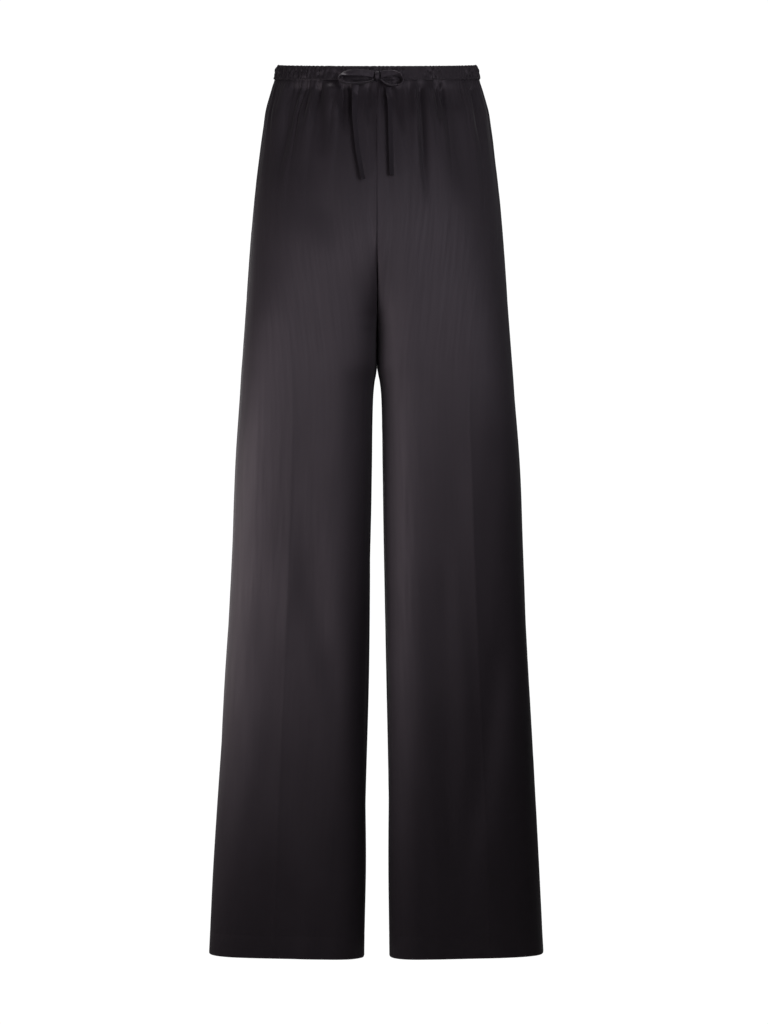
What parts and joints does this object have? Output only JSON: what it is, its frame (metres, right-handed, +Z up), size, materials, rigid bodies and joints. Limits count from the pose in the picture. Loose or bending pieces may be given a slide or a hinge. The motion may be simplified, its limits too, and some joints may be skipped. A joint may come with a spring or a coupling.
{
  "type": "wide-leg pants",
  "caption": "Wide-leg pants with a gathered drawstring waist, standing open as if worn, with straight full-length legs.",
  "frame": {"origin": "middle of the waist opening, at the height of its fold line at the side seams", "axes": "+Z up from the hems to the waist, -Y towards the front, +X towards the wearer's left"},
  "size_m": [0.4192, 0.2347, 1.1171],
  "materials": {
    "satin": "black satin, soft sheen",
    "tie": "black satin tie, pressed flat"
  },
  "bodies": {
    "root": {"panel_front_right": "satin", "panel_front_left": "satin", "panel_back_right": "satin", "panel_back_left": "satin", "waistband_front": "satin", "waistband_back": "satin", "drawstring_knot": "tie", "drawstring_loop_right": "tie", "drawstring_loop_left": "tie", "drawstring_tail_right": "tie", "drawstring_tail_left": "tie"}
  },
  "joints": []
}
